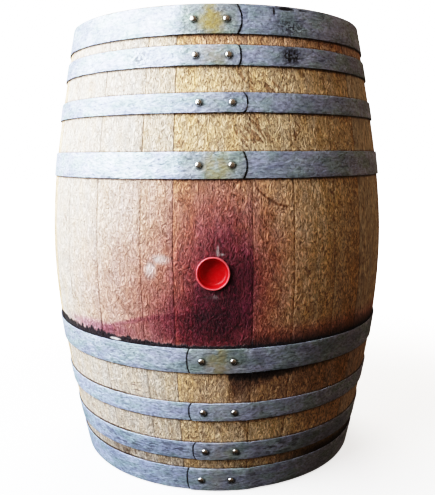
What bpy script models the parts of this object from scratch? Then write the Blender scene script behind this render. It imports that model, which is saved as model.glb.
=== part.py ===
"""Oak wine barrel of the Burgundy pattern, about 228 litres, standing on one head.

It is built as a cooper builds it: 25 tapered staves held together by eight riveted steel hoops, a
tongued and grooved head of five boards sprung into the croze at each end, and a silicone bung.
Metres, +Z up. The origin is on the floor at the centre of the barrel, and the bung faces -Y.
"""

import math
from collections import namedtuple

import bmesh
import bpy
from mathutils import Matrix, Vector

# The barrel's envelope, measured over the outside of the staves.
HEIGHT = 0.880
BILGE_RADIUS = 0.355
END_RADIUS = 0.294
BEND = 1.72  # 0 bends a stave evenly; larger values bend it more at the bilge than near its ends

GAP = 0.0003  # clearance between pieces that touch

# Staves. Angles run from the bung, positive towards +X.
STAVE_THICKNESS = 0.027
CHIME_THICKNESS = 0.013  # of a stave's end face, after the bevel on its inside
CHIME_BEVEL = 0.020  # length of that bevel along the stave
BUNG_STAVE_START = math.radians(-11.1)
STAVE_WIDTHS = [
    22.2, 12.4, 14.6, 12.2, 16.4, 13.1, 15.3, 11.6, 14.9, 16.8, 12.7, 13.8, 15.9,
    14.2, 11.9, 16.1, 13.4, 14.8, 12.9, 17.9, 13.6, 12.9, 15.0, 15.7, 9.7,
]  # degrees, which fill the circle; the first one is the wide stave that holds the bung
STAVE_FACET = math.radians(7.5)

# Heads. Depths are measured from the end of the barrel.
HEAD_FACE_DEPTH = 0.034
HEAD_THICKNESS = 0.022
LIP_DEPTH = 0.040  # outer side of the thin lip that sits in the croze
LIP_THICKNESS = 0.006
CROZE_CUT = 0.006  # how deep the croze is cut into the staves
LIP_PLAY = 0.001  # between the lip's edge and the bottom of the croze
OUTER_BEVEL = 0.019  # radial width of the bevel on the head's outer face
INNER_BEVEL = 0.024
TONGUE_THICKNESS = 0.005
TONGUE_LENGTH = 0.0065
TOP_HEAD_JOINTS = (-0.168, -0.061, 0.052, 0.171)  # x of the joints between boards
BOTTOM_HEAD_JOINTS = (-0.175, -0.052, 0.064, 0.166)
HEAD_SIDES = 48

# Hoops: how far each one's outer edge lies from the barrel's end, its width, and its lap's centre.
HOOP_THICKNESS = 0.002
HOOP_STEP = math.radians(7.2)
RIVET_PITCH = 0.055
LAP_TAIL = 0.024  # from a rivet to the end of the strip beside it
LAP_RAMP = 0.012  # length over which the strip climbs onto its other end
LAP_CLEAR = 0.003  # between the top of that climb and the other end
Hoop = namedtuple("Hoop", "name inset width lap_degrees end_bow end_power")
TOP_HOOPS = [
    Hoop("chime", 0.002, 0.050, -0.7, 0.0075, 2.2),
    Hoop("outer_quarter", 0.070, 0.034, -0.1, 0.0040, 4.0),
    Hoop("inner_quarter", 0.149, 0.033, 0.9, 0.0060, 3.4),
    Hoop("bilge", 0.246, 0.045, 0.7, 0.0060, 2.2),
]
BOTTOM_HOOPS = [
    Hoop("chime", 0.002, 0.048, 0.2, 0.0040, 3.0),
    Hoop("outer_quarter", 0.071, 0.036, 1.7, 0.0050, 3.4),
    Hoop("inner_quarter", 0.154, 0.035, 1.3, 0.0050, 3.4),
    Hoop("bilge", 0.249, 0.046, 1.0, 0.0045, 2.6),
]

# Rivets
RIVET_HEAD_RADIUS = 0.0057
RIVET_HEAD_HEIGHT = 0.0034
RIVET_SHANK_RADIUS = 0.0026
RIVET_TAIL_RADIUS = 0.0040  # where the tail is hammered flush into the inner layer's countersink
COUNTERSINK_TOP = -0.0029  # height of the countersink's narrow end below the outer layer's face
RIVET_SIDES = 8

# Bung, and the tapered hole that it closes
BUNG_HEIGHT = 0.430
BUNG_RIM_RADIUS = 0.029
BUNG_TIP_RADIUS = 0.0245
BUNG_LENGTH = 0.038
BUNG_STANDS_PROUD = 0.004
BUNG_WALL = 0.0032
BUNG_RECESS_DEPTH = 0.020
BUNG_SIDES = 28

OAK = (0.60, 0.42, 0.25)
HEAD_OAK = (0.62, 0.46, 0.29)
GALVANISED_STEEL = (0.50, 0.53, 0.58)
RIVET_STEEL = (0.62, 0.63, 0.62)
RED_SILICONE = (0.72, 0.02, 0.03)


def outer_radius(z):
    """Radius over the staves at a height: nearly conical towards the ends, and bent most at the bilge."""
    along = abs(z - HEIGHT / 2) / (HEIGHT / 2)
    drop = (math.hypot(1, BEND * along) - 1) / (math.hypot(1, BEND) - 1)
    return BILGE_RADIUS - (BILGE_RADIUS - END_RADIUS) * drop


def inner_radius(z):
    return outer_radius(z) - STAVE_THICKNESS


def around(angle, radius, z):
    """The point at an angle from the bung, which faces -Y."""
    return Vector((radius * math.sin(angle), -radius * math.cos(angle), z))


def material(name, colour, roughness, metallic=0.0):
    made = bpy.data.materials.new(name)
    made.use_nodes = True
    shader = made.node_tree.nodes["Principled BSDF"]
    shader.inputs["Base Color"].default_value = (*colour, 1)
    shader.inputs["Roughness"].default_value = roughness
    shader.inputs["Metallic"].default_value = metallic
    return made


def finish_mesh(bm, name):
    """A closed bmesh as a mesh whose faces point out."""
    bmesh.ops.recalc_face_normals(bm, faces=bm.faces)
    mesh = bpy.data.meshes.new(name)
    bm.to_mesh(mesh)
    bm.free()
    return mesh


def add_object(name, mesh, surface):
    if not mesh.materials:
        mesh.materials.append(surface)
    obj = bpy.data.objects.new(name, mesh)
    bpy.context.scene.collection.objects.link(obj)
    return obj


def shade_round(obj, degrees=30):
    obj.data.shade_smooth()
    obj.data.set_sharp_from_angle(angle=math.radians(degrees))


def make_cutter(name, mesh):
    obj = bpy.data.objects.new(name, mesh)
    bpy.context.scene.collection.objects.link(obj)
    obj.hide_render = True
    obj.display_type = "WIRE"
    return obj


def combine(obj, other, operation):
    modifier = obj.modifiers.new(operation.lower(), "BOOLEAN")
    modifier.operation = operation
    modifier.object = other


def turned(outline, sides, start=0.0, sweep=math.tau):
    """A closed bmesh: a loop of (radius, z) points turned about Z, with caps if it isn't a full turn."""
    bm = bmesh.new()
    loop = [bm.verts.new(around(start, radius, z)) for radius, z in outline]
    edges = [bm.edges.new(pair) for pair in zip(loop, loop[1:] + loop[:1])]
    full = math.isclose(sweep, math.tau)
    bmesh.ops.spin(
        bm, geom=loop + edges, axis=(0, 0, 1), cent=(0, 0, 0), angle=sweep, steps=sides,
        use_merge=full,
    )
    if not full:
        bmesh.ops.holes_fill(bm, edges=bm.edges)
    return bm


def lathe(profile, sides):
    """A closed bmesh: an open (radius, z) profile that starts and ends on the axis, turned about Z.

    A side's middle faces -Y, so that no corner of a round hole falls on the crease it is cut through.
    """
    bm = bmesh.new()
    line = [bm.verts.new(around(math.pi / sides, radius, z)) for radius, z in profile]
    edges = [bm.edges.new(pair) for pair in zip(line, line[1:])]
    bmesh.ops.spin(
        bm, geom=line + edges, axis=(0, 0, 1), cent=(0, 0, 0), angle=math.tau, steps=sides,
        use_merge=True,
    )
    bmesh.ops.remove_doubles(bm, verts=bm.verts, dist=1e-5)
    return bm


def loft(sections):
    """A closed bmesh through rings of points that all have the same length."""
    bm = bmesh.new()
    rings = [[bm.verts.new(point) for point in section] for section in sections]
    for ring, following in zip(rings, rings[1:]):
        for i in range(len(ring)):
            j = (i + 1) % len(ring)
            bm.faces.new((ring[i], ring[j], following[j], following[i]))
    bm.faces.new(rings[0])
    bm.faces.new(rings[-1])
    return bm


def stave_outline():
    """A stave's lengthwise section as (radius, z) points, with both chime bevels and both crozes."""
    # The outside is straight across each hoop, so that the hoop bears on it.
    heights = [HEIGHT, *(HEIGHT * share for share in (0.58, 0.5, 0.42)), 0.0]
    heights += [HEIGHT - hoop.inset - shift for hoop in TOP_HOOPS for shift in (0, hoop.width)]
    heights += [hoop.inset + shift for hoop in BOTTOM_HOOPS for shift in (0, hoop.width)]
    outside = [(outer_radius(z), z) for z in sorted(heights, reverse=True)]

    croze_start = LIP_DEPTH - GAP
    croze_end = LIP_DEPTH + LIP_THICKNESS + GAP
    croze_radius = inner_radius(LIP_DEPTH + LIP_THICKNESS / 2) + CROZE_CUT
    lower = [
        (END_RADIUS - CHIME_THICKNESS, 0.0),
        (inner_radius(CHIME_BEVEL), CHIME_BEVEL),
        (inner_radius(croze_start), croze_start),
        (croze_radius, croze_start),
        (croze_radius, croze_end),
        (inner_radius(croze_end), croze_end),
    ]
    middle = [(inner_radius(HEIGHT * share), HEIGHT * share) for share in (0.2, 0.35, 0.5, 0.65, 0.8)]
    upper = [(radius, HEIGHT - z) for radius, z in reversed(lower)]
    return outside + lower + middle + upper


def add_staves(oak):
    """The staves in order round the barrel, the bung stave first."""
    outline = stave_outline()
    side_gap = GAP / (END_RADIUS - STAVE_THICKNESS)
    total = sum(STAVE_WIDTHS)
    start = BUNG_STAVE_START
    staves = []
    for number, share in enumerate(STAVE_WIDTHS):
        width = share / total * math.tau
        name = "bung_stave" if number == 0 else f"stave_{number:02d}"
        facets = math.ceil(width / STAVE_FACET)
        bm = turned(outline, facets, start + side_gap / 2, width - side_gap)
        staves.append(add_object(name, finish_mesh(bm, name), oak))
        shade_round(staves[-1])
        start += width
    return staves


def bung_radius(depth, clearance=0.0):
    """Radius of the bung's cone at a depth below its rim, measured square to the axis."""
    return BUNG_RIM_RADIUS + (BUNG_TIP_RADIUS - BUNG_RIM_RADIUS) * depth / BUNG_LENGTH + clearance


def face_outwards(obj):
    """Stands a piece turned about Z on the bung's axis, with +Z of the piece pointing out of the barrel."""
    obj.rotation_euler = (math.pi / 2, 0, 0)
    obj.location = (0, -BILGE_RADIUS - BUNG_STANDS_PROUD, BUNG_HEIGHT)


def cut_bung_hole(stave):
    reach = 0.010  # past both faces of the stave
    deepest = BUNG_STANDS_PROUD + STAVE_THICKNESS + reach
    profile = [
        (0, reach),
        (bung_radius(-reach, GAP), reach),
        (bung_radius(deepest, GAP), -deepest),
        (0, -deepest),
    ]
    hole = make_cutter("bung_hole_cutter", finish_mesh(lathe(profile, BUNG_SIDES), "bung_hole"))
    face_outwards(hole)
    combine(stave, hole, "DIFFERENCE")


def add_bung(silicone):
    """A hollow-topped cone: the recess lets fingers squeeze the rim in to free it."""
    floor = -BUNG_RECESS_DEPTH
    recess = bung_radius(0) - BUNG_WALL
    profile = [
        (0, floor),
        (recess * 0.55, floor + 0.0010),
        (recess * 0.82, floor + 0.0055),
        (recess * 0.95, floor + 0.0125),
        (recess, -0.0008),
        (recess + 0.0008, 0),
        (bung_radius(0) - 0.0010, 0),
        (bung_radius(0.0010), -0.0010),
        (bung_radius(BUNG_LENGTH - 0.002), -BUNG_LENGTH + 0.002),
        (BUNG_TIP_RADIUS - 0.002, -BUNG_LENGTH),
        (0, -BUNG_LENGTH),
    ]
    bung = add_object("bung", finish_mesh(lathe(profile, BUNG_SIDES), "bung"), silicone)
    face_outwards(bung)
    shade_round(bung, 40)


def head_outline():
    """Half of a head's section as (radius, depth) points from the axis out, round the lip and back."""
    lip_radius = inner_radius(LIP_DEPTH + LIP_THICKNESS / 2) + CROZE_CUT - LIP_PLAY
    inner_face = HEAD_FACE_DEPTH + HEAD_THICKNESS
    return [
        (0, HEAD_FACE_DEPTH),
        (lip_radius - OUTER_BEVEL, HEAD_FACE_DEPTH),
        (lip_radius - CROZE_CUT, LIP_DEPTH),
        (lip_radius, LIP_DEPTH),
        (lip_radius, LIP_DEPTH + LIP_THICKNESS),
        (lip_radius - CROZE_CUT, LIP_DEPTH + LIP_THICKNESS),
        (lip_radius - INNER_BEVEL, inner_face),
        (0, inner_face),
    ]


def board_section(left, right):
    """A board's cross-section as (x, depth) points: a groove at its left joint, a tongue at its right."""
    shallow, deep = HEAD_FACE_DEPTH - 0.01, HEAD_FACE_DEPTH + HEAD_THICKNESS + 0.01
    middle = HEAD_FACE_DEPTH + HEAD_THICKNESS / 2
    half = TONGUE_THICKNESS / 2
    groove_bottom = TONGUE_LENGTH + GAP
    beyond = 2 * END_RADIUS
    if left is None:
        left_side = [(-beyond, shallow), (-beyond, deep)]
    else:
        face = left + GAP / 2
        left_side = [
            (face, shallow),
            (face, middle - half - GAP),
            (face + groove_bottom, middle - half - GAP),
            (face + groove_bottom, middle + half + GAP),
            (face, middle + half + GAP),
            (face, deep),
        ]
    if right is None:
        return left_side + [(beyond, deep), (beyond, shallow)]
    face = right - GAP / 2
    return left_side + [
        (face, deep),
        (face, middle + half),
        (face + TONGUE_LENGTH, middle + half),
        (face + TONGUE_LENGTH, middle - half),
        (face, middle - half),
        (face, shallow),
    ]


def add_head(prefix, joints, height_at, oak):
    """A head of boards that run towards the bung. height_at turns a depth from the end into a z."""
    turned_head = [(radius, height_at(depth)) for radius, depth in head_outline()]
    edges = [None, *joints, None]
    for number, (left, right) in enumerate(zip(edges, edges[1:]), 1):
        name = f"{prefix}_head_board_{number}"
        board = add_object(name, finish_mesh(lathe(turned_head, HEAD_SIDES), name), oak)
        section = board_section(left, right)
        bm = loft(
            [[(x, y, height_at(depth)) for x, depth in section] for y in (-END_RADIUS, END_RADIUS)]
        )
        blank = make_cutter(f"{name}_blank", finish_mesh(bm, f"{name}_blank"))
        combine(board, blank, "INTERSECT")
        shade_round(board)


def strip_half_width(hoop, from_end):
    """Half the strip's width near its bowed end."""
    share = min(1.0, from_end / hoop.end_bow)
    return hoop.width / 2 * share ** (1 / hoop.end_power)


def hoop_seat(radius):
    """How far a hoop's corners stand off the staves, so that the flats between them stay clear."""
    return GAP + radius * (1 - math.cos(HOOP_STEP / 2))


def strip_stations(hoop, radius):
    """(distance, climb, half width) along a strip that goes once round and ends on top of itself.

    Distance 0 is the centre of the lap. Both layers of the lap have corners at the same angles.
    """
    once_round = math.tau * radius
    tail = RIVET_PITCH / 2 + LAP_TAIL
    lap = (-tail, -RIVET_PITCH / 2, 0, RIVET_PITCH / 2)
    climb_end = once_round - tail - LAP_CLEAR
    climb_start = climb_end - LAP_RAMP
    steps = math.ceil((climb_start - tail) / radius / HOOP_STEP)
    lower = [*lap, *(tail + (climb_start - tail) * step / steps for step in range(steps + 1))]
    upper = [climb_end, *(once_round + distance for distance in lap)]

    end = once_round + tail
    half = hoop.width / 2
    climb = HOOP_THICKNESS + GAP
    stations = [(distance, 0, half) for distance in lower]
    stations += [(distance, climb, half) for distance in upper]
    for share in (1.0, 0.5, 0.2, 0.05):
        from_end = hoop.end_bow * share
        stations.append((end - from_end, climb, strip_half_width(hoop, from_end)))
    return stations


def hoop_mesh(hoop, name, middle, side):
    """The strip of one hoop. side is 1 where the end on top points towards +X, or -1."""
    low_radius = outer_radius(middle - hoop.width / 2)
    high_radius = outer_radius(middle + hoop.width / 2)
    radius = (low_radius + high_radius) / 2
    slope = (high_radius - low_radius) / hoop.width
    sections = []
    for distance, climb, half in strip_stations(hoop, radius):
        angle = math.radians(hoop.lap_degrees) + side * distance / radius
        inner = radius + hoop_seat(radius) + climb
        outer = inner + HOOP_THICKNESS
        sections.append([
            around(angle, inner - slope * half, middle - half),
            around(angle, inner + slope * half, middle + half),
            around(angle, outer + slope * half, middle + half),
            around(angle, outer - slope * half, middle - half),
        ])
    return finish_mesh(loft(sections), name)


def rivet_mesh():
    """A rivet with its head above z = 0, where the outer layer's face lies, and its tail below."""
    grip = 2 * HOOP_THICKNESS + GAP
    dome = [
        (RIVET_HEAD_RADIUS * math.cos(rise), GAP + RIVET_HEAD_HEIGHT * math.sin(rise))
        for rise in (0, math.radians(30), math.radians(60))
    ]
    shank = [(RIVET_TAIL_RADIUS, -grip), (RIVET_SHANK_RADIUS, COUNTERSINK_TOP), (RIVET_SHANK_RADIUS, GAP)]
    profile = [(0, -grip), *shank, *dome, (0, GAP + RIVET_HEAD_HEIGHT)]
    return finish_mesh(lathe(profile, RIVET_SIDES), "rivet")


def rivet_hole_mesh():
    grip = 2 * HOOP_THICKNESS + GAP
    tail = RIVET_TAIL_RADIUS + GAP
    shank = RIVET_SHANK_RADIUS + GAP
    reach = 0.002  # past both faces of the lap
    profile = [
        (0, -grip - reach), (tail, -grip - reach), (tail, -grip), (shank, COUNTERSINK_TOP),
        (shank, reach), (0, reach),
    ]
    return finish_mesh(lathe(profile, RIVET_SIDES), "rivet_hole")


def place_on_lap(obj, hoop, middle, distance):
    """Stands a piece on the lap's outer face, square to it, at a distance from the lap's centre."""
    low_radius = outer_radius(middle - hoop.width / 2)
    high_radius = outer_radius(middle + hoop.width / 2)
    radius = (low_radius + high_radius) / 2
    angle = math.radians(hoop.lap_degrees) + distance / radius
    outward = around(angle, hoop.width, low_radius - high_radius).normalized()
    face = around(angle, radius + hoop_seat(radius) + 2 * HOOP_THICKNESS + GAP, middle)
    turn = outward.to_track_quat("Z", "Y").to_matrix().to_4x4()
    obj.matrix_world = Matrix.Translation(face) @ turn


def add_hoop(prefix, hoop, middle, side, rivet, hole, steel, rivet_steel):
    """One hoop and its two rivets, which share the meshes rivet and hole."""
    name = f"{prefix}_{hoop.name}"
    strip = add_object(f"{name}_hoop", hoop_mesh(hoop, f"{name}_hoop", middle, side), steel)
    for label, distance in (("left", -RIVET_PITCH / 2), ("right", RIVET_PITCH / 2)):
        cutter = make_cutter(f"{name}_{label}_hole_cutter", hole)
        place_on_lap(cutter, hoop, middle, distance)
        combine(strip, cutter, "DIFFERENCE")
        placed = add_object(f"{name}_rivet_{label}", rivet, rivet_steel)
        place_on_lap(placed, hoop, middle, distance)
    shade_round(strip, 35)


def main():
    for obj in list(bpy.data.objects):
        bpy.data.objects.remove(obj)
    oak = material("oak_stave", OAK, 0.75)
    head_oak = material("oak_head", HEAD_OAK, 0.75)
    steel = material("galvanised_steel", GALVANISED_STEEL, 0.45, 0.85)
    rivet_steel = material("rivet_steel", RIVET_STEEL, 0.35, 0.9)
    silicone = material("red_silicone", RED_SILICONE, 0.4)

    staves = add_staves(oak)
    cut_bung_hole(staves[0])
    add_bung(silicone)
    add_head("top", TOP_HEAD_JOINTS, lambda depth: HEIGHT - depth, head_oak)
    add_head("bottom", BOTTOM_HEAD_JOINTS, lambda depth: depth, head_oak)

    rivet, hole = rivet_mesh(), rivet_hole_mesh()
    for hoop in TOP_HOOPS:
        middle = HEIGHT - hoop.inset - hoop.width / 2
        add_hoop("top", hoop, middle, 1, rivet, hole, steel, rivet_steel)
    for hoop in BOTTOM_HOOPS:
        middle = hoop.inset + hoop.width / 2
        add_hoop("bottom", hoop, middle, -1, rivet, hole, steel, rivet_steel)


main()
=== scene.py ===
"""Looks of the oak wine barrel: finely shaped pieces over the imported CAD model, their materials and
the studio round them.

Metres, +Z up, in the CAD model's frame. Azimuths run round the barrel from the bung, positive
towards +X. Patterns on the barrel are placed by azimuth in degrees and height in metres.
"""

import functools
import math
import random
from collections import namedtuple

import bmesh
import bpy
from mathutils import Matrix, Vector, noise


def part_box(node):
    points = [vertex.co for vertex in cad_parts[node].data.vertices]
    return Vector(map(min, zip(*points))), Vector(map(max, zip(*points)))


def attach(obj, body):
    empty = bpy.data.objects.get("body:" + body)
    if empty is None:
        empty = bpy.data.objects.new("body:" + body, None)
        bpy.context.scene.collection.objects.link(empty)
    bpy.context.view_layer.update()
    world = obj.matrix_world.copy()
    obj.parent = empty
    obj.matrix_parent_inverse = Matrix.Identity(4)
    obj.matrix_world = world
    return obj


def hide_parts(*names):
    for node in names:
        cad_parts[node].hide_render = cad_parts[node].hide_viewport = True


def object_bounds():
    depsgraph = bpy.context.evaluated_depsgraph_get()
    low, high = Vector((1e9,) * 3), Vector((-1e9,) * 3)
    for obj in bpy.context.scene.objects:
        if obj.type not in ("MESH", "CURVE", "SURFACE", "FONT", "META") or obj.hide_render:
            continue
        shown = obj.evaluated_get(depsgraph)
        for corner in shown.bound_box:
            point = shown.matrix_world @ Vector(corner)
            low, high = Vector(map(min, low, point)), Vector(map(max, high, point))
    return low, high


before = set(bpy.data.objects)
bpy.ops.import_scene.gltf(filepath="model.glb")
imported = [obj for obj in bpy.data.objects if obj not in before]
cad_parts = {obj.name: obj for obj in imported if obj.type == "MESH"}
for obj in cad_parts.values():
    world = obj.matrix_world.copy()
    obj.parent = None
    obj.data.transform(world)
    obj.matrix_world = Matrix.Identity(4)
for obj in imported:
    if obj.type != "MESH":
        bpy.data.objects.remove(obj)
cad_low, cad_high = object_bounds()


def cad_points(node):
    """The corners of a CAD node at rest."""
    return [vertex.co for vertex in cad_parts[node].data.vertices]


STAVES = sorted(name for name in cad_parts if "stave" in name)
HOOPS = sorted(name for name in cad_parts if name.endswith("_hoop"))

# The barrel's envelope, as in the CAD model.
STAVE_POINTS = [point for name in STAVES for point in cad_points(name)]
HEIGHT = cad_high.z
MID_HEIGHT = HEIGHT / 2
BILGE_RADIUS = max(point.xy.length for point in STAVE_POINTS)
END_RADIUS = max(point.xy.length for point in STAVE_POINTS if HEIGHT - point.z < 0.001)
STAVE_THICKNESS = BILGE_RADIUS - min(
    point.xy.length for point in STAVE_POINTS if abs(point.z - MID_HEIGHT) < 0.001
)
BEND = 1.72
GAP = 0.0003  # clearance between pieces that touch

# Staves
CHIME_THICKNESS = 0.013
CHIME_BEVEL = 0.020
STAVE_ARRIS = 0.0006  # radius of a stave's long outer edges
END_WEAR = 0.0014  # radius of the worn outer edge of a stave's end

# Heads. Depths are measured from the end of the barrel.
HEAD_FACE_DEPTH = 0.034
HEAD_THICKNESS = 0.022
HEAD_BACK_DEPTH = HEAD_FACE_DEPTH + HEAD_THICKNESS
LIP_DEPTH = 0.040
LIP_THICKNESS = 0.006
LIP_END = LIP_DEPTH + LIP_THICKNESS
CROZE_CUT = 0.006
LIP_PLAY = 0.001
OUTER_BEVEL = 0.019
INNER_BEVEL = 0.024
TONGUE_THICKNESS = 0.005
TONGUE_LENGTH = 0.0065
BOARD_ARRIS = 0.0007
BLANK_REACH = 0.01  # how far a board's blank stands past the head's faces
HEAD_SIDES = 144

# Hoops
HOOP_THICKNESS = 0.002
HOOP_SEAT = 0.0010  # a hoop's edges stand this far off the staves
RIVET_PITCH = 0.055
LAP_RAMP = 0.034
LAP_CLEAR = 0.003
LAP_THICKNESS = 2 * HOOP_THICKNESS + GAP
HOOP_SWAY = 0.0004  # how far a hoop wanders up and down round the barrel
NICK_DEPTH = 0.0009
DENT_DEPTH = 0.00012
# From a rivet to the strip's end, length of that end's bow and how square it is, how rusty the lap
# is, and how much duller than fresh zinc the hoop is
HOOP_LOOKS = {
    "top_chime_hoop": (0.024, 0.0075, 2.2, 1.0, 0.10),
    "top_outer_quarter_hoop": (0.019, 0.0040, 4.0, 0.45, 0.16),
    "top_inner_quarter_hoop": (0.024, 0.0060, 3.4, 0.12, 0.10),
    "top_bilge_hoop": (0.024, 0.0060, 2.2, 0.75, -0.08),
    "bottom_bilge_hoop": (0.024, 0.0045, 2.6, 0.70, -0.05),
    "bottom_inner_quarter_hoop": (0.024, 0.0050, 3.4, 0.15, -0.58),
    "bottom_outer_quarter_hoop": (0.020, 0.0050, 3.4, 0.35, -0.05),
    "bottom_chime_hoop": (0.024, 0.0040, 3.0, 0.25, 0.0),
}

# Rivets
RIVET_HEAD_RADIUS = 0.0057
RIVET_HEAD_HEIGHT = 0.0034
RIVET_SHANK_RADIUS = 0.0026
RIVET_TAIL_RADIUS = 0.0040
DIMPLE_DEPTH = 0.00022
COUNTERSINK_TOP = -0.0029
RIVET_SIDES = 28

# Bung
BUNG_RIM_RADIUS = 0.029
BUNG_TIP_RADIUS = 0.0245
BUNG_LENGTH = 0.038
BUNG_STANDS_PROUD = 0.004
BUNG_WALL = 0.0032
BUNG_RECESS_DEPTH = 0.020
BUNG_LIP_WAVER = 0.00025
BUNG_SIDES = 72
BUNG_HEIGHT = (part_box("bung")[0].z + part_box("bung")[1].z) / 2


# Shapes


def outer_radius(z):
    """Radius over the staves at a height."""
    along = abs(z - MID_HEIGHT) / MID_HEIGHT
    drop = (math.hypot(1, BEND * along) - 1) / (math.hypot(1, BEND) - 1)
    return BILGE_RADIUS - (BILGE_RADIUS - END_RADIUS) * drop


def inner_radius(z):
    return outer_radius(z) - STAVE_THICKNESS


def croze_radius():
    """Radius of the bottom of the croze."""
    return inner_radius(LIP_DEPTH + LIP_THICKNESS / 2) + CROZE_CUT


def around(angle, radius, z):
    """The point at an azimuth, in radians."""
    return Vector((radius * math.sin(angle), -radius * math.cos(angle), z))


def azimuth_of(point):
    return math.atan2(point.x, -point.y)


def uneven(*place):
    """A smooth wander between about -1 and 1, the same on every run."""
    return noise.noise(Vector(place)) * 1.6


def finish_mesh(bm, name):
    """A closed bmesh as a mesh whose faces point out."""
    bmesh.ops.recalc_face_normals(bm, faces=bm.faces)
    mesh = bpy.data.meshes.new(name)
    bm.to_mesh(mesh)
    bm.free()
    return mesh


def link(name, data):
    """A new object in the scene."""
    obj = bpy.data.objects.new(name, data)
    bpy.context.scene.collection.objects.link(obj)
    return obj


def add_piece(node, mesh, material, body="barrel"):
    """The detailed piece that stands for one CAD node."""
    piece = link(f"{node}_finished", mesh)
    mesh.materials.clear()
    mesh.materials.append(material)
    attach(piece, body)
    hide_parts(node)
    return piece


def shade_round(mesh, degrees):
    mesh.shade_smooth()
    mesh.set_sharp_from_angle(angle=math.radians(degrees))


def loft(sections):
    """A closed bmesh through rings of points that all have the same length."""
    bm = bmesh.new()
    rings = [[bm.verts.new(point) for point in section] for section in sections]
    for ring, following in zip(rings, rings[1:]):
        for i in range(len(ring)):
            j = (i + 1) % len(ring)
            bm.faces.new((ring[i], ring[j], following[j], following[i]))
    bm.faces.new(rings[0])
    bm.faces.new(rings[-1])
    return bm


def lathe(profile, sides):
    """A closed bmesh: a (radius, z) profile that starts and ends on the axis, turned about Z."""
    bm = bmesh.new()
    line = [bm.verts.new(around(0, radius, z)) for radius, z in profile]
    edges = [bm.edges.new(pair) for pair in zip(line, line[1:])]
    bmesh.ops.spin(
        bm, geom=line + edges, axis=(0, 0, 1), cent=(0, 0, 0), angle=math.tau, steps=sides,
        use_merge=True,
    )
    bmesh.ops.remove_doubles(bm, verts=bm.verts, dist=1e-6)
    return bm


def arc(centre, radius, start, end, steps):
    """Points of an arc in a plane, with its angles in degrees."""
    angles = [math.radians(start + (end - start) * step / steps) for step in range(steps + 1)]
    return [(centre[0] + radius * math.cos(a), centre[1] + radius * math.sin(a)) for a in angles]


def combined(mesh, cutters, operation):
    """The mesh with cutters, a list of (mesh, placing matrix), cut out of it or intersected with it."""
    obj = link("work", mesh)
    helpers = [link("cutter", cutter) for cutter, _ in cutters]
    for helper, (_, placing) in zip(helpers, cutters):
        helper.matrix_world = placing
        modifier = obj.modifiers.new("cut", "BOOLEAN")
        modifier.operation = operation
        modifier.object = helper
        modifier.solver = "EXACT"
    bpy.context.view_layer.update()
    graph = bpy.context.evaluated_depsgraph_get()
    made = bpy.data.meshes.new_from_object(obj.evaluated_get(graph), depsgraph=graph)
    made.name = mesh.name
    for each in (obj, *helpers):
        bpy.data.objects.remove(each)
    return made


# Staves

Span = namedtuple("Span", "middle half")  # azimuths in radians


def stave_span(node):
    """Where a stave lies round the barrel."""
    corners = cad_points(node)
    rough = azimuth_of(sum((Vector((p.x, p.y, 0)).normalized() for p in corners), Vector()))
    offsets = [math.remainder(azimuth_of(p) - rough, math.tau) for p in corners]
    return Span(rough + (min(offsets) + max(offsets)) / 2, (max(offsets) - min(offsets)) / 2)


def stave_heights():
    """Heights of a stave's rings: close together at the ends and at each side of a croze."""
    step = 0.00005
    lower = [0, 0.0003, 0.0008, END_WEAR, 0.003, 0.007, 0.013, CHIME_BEVEL, 0.028]
    lower += [LIP_DEPTH - GAP - step, LIP_DEPTH - GAP, LIP_END + GAP, LIP_END + GAP + step]
    pitch = 0.0115
    spare = MID_HEIGHT - LIP_END
    lower += [LIP_END + spare * n / round(spare / pitch) for n in range(1, round(spare / pitch) + 1)]
    return lower + [HEIGHT - z for z in reversed(lower[:-1])]


def stave_inside(z):
    """Radius of a stave's inner face, with the chime bevel and the croze."""
    depth = min(z, HEIGHT - z)
    if depth < CHIME_BEVEL:
        end = END_RADIUS - CHIME_THICKNESS
        return end + (inner_radius(CHIME_BEVEL) - end) * depth / CHIME_BEVEL
    if LIP_DEPTH - GAP <= depth <= LIP_END + GAP:
        return croze_radius()
    return inner_radius(z)


def end_wear(z, angle, seed):
    """How far the outer edge of a stave's end has worn back."""
    depth = min(z, HEIGHT - z)
    if depth >= END_WEAR:
        return 0
    worn = END_WEAR * (1 - math.sqrt(1 - (1 - depth / END_WEAR) ** 2))
    return worn * (1 + 0.4 * uneven(angle * 30, seed, z * 5))


def stave_ring(z, span, seed, proud):
    """Closed ring of points round a stave's section at a height."""
    across, inside_steps, side_steps = 14, 6, 3
    radius = outer_radius(z) + proud
    low, high = span.middle - span.half, span.middle + span.half
    arris = STAVE_ARRIS * (1 + 0.5 * uneven(seed, z * 22, 0.3))

    def outside(angle, sunk=0.0):
        wander = 0.00016 * uneven(angle * 6, z * 9, seed) + 0.00008 * uneven(angle * 22, z * 26, seed)
        return around(angle, radius + wander - sunk - end_wear(z, angle, seed), z)

    inset = arris / radius
    ring = [outside(low, arris), outside(low + inset * 0.29, arris * 0.29)]
    spread = high - low - 2 * inset
    ring += [outside(low + inset + spread * step / across) for step in range(across + 1)]
    ring += [outside(high - inset * 0.29, arris * 0.29), outside(high, arris)]
    inside = stave_inside(z)
    edge = radius - arris
    sides = [edge + (inside - edge) * step / (side_steps + 1) for step in range(1, side_steps + 1)]
    ring += [around(high, side, z) for side in sides]
    turns = [high + (low - high) * step / inside_steps for step in range(inside_steps + 1)]
    ring += [around(turn, inside, z) for turn in turns]
    ring += [around(low, side, z) for side in reversed(sides)]
    return ring


def bung_radius(depth, clearance=0.0):
    """Radius of the bung's cone at a depth below its rim."""
    return BUNG_RIM_RADIUS + (BUNG_TIP_RADIUS - BUNG_RIM_RADIUS) * depth / BUNG_LENGTH + clearance


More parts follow.
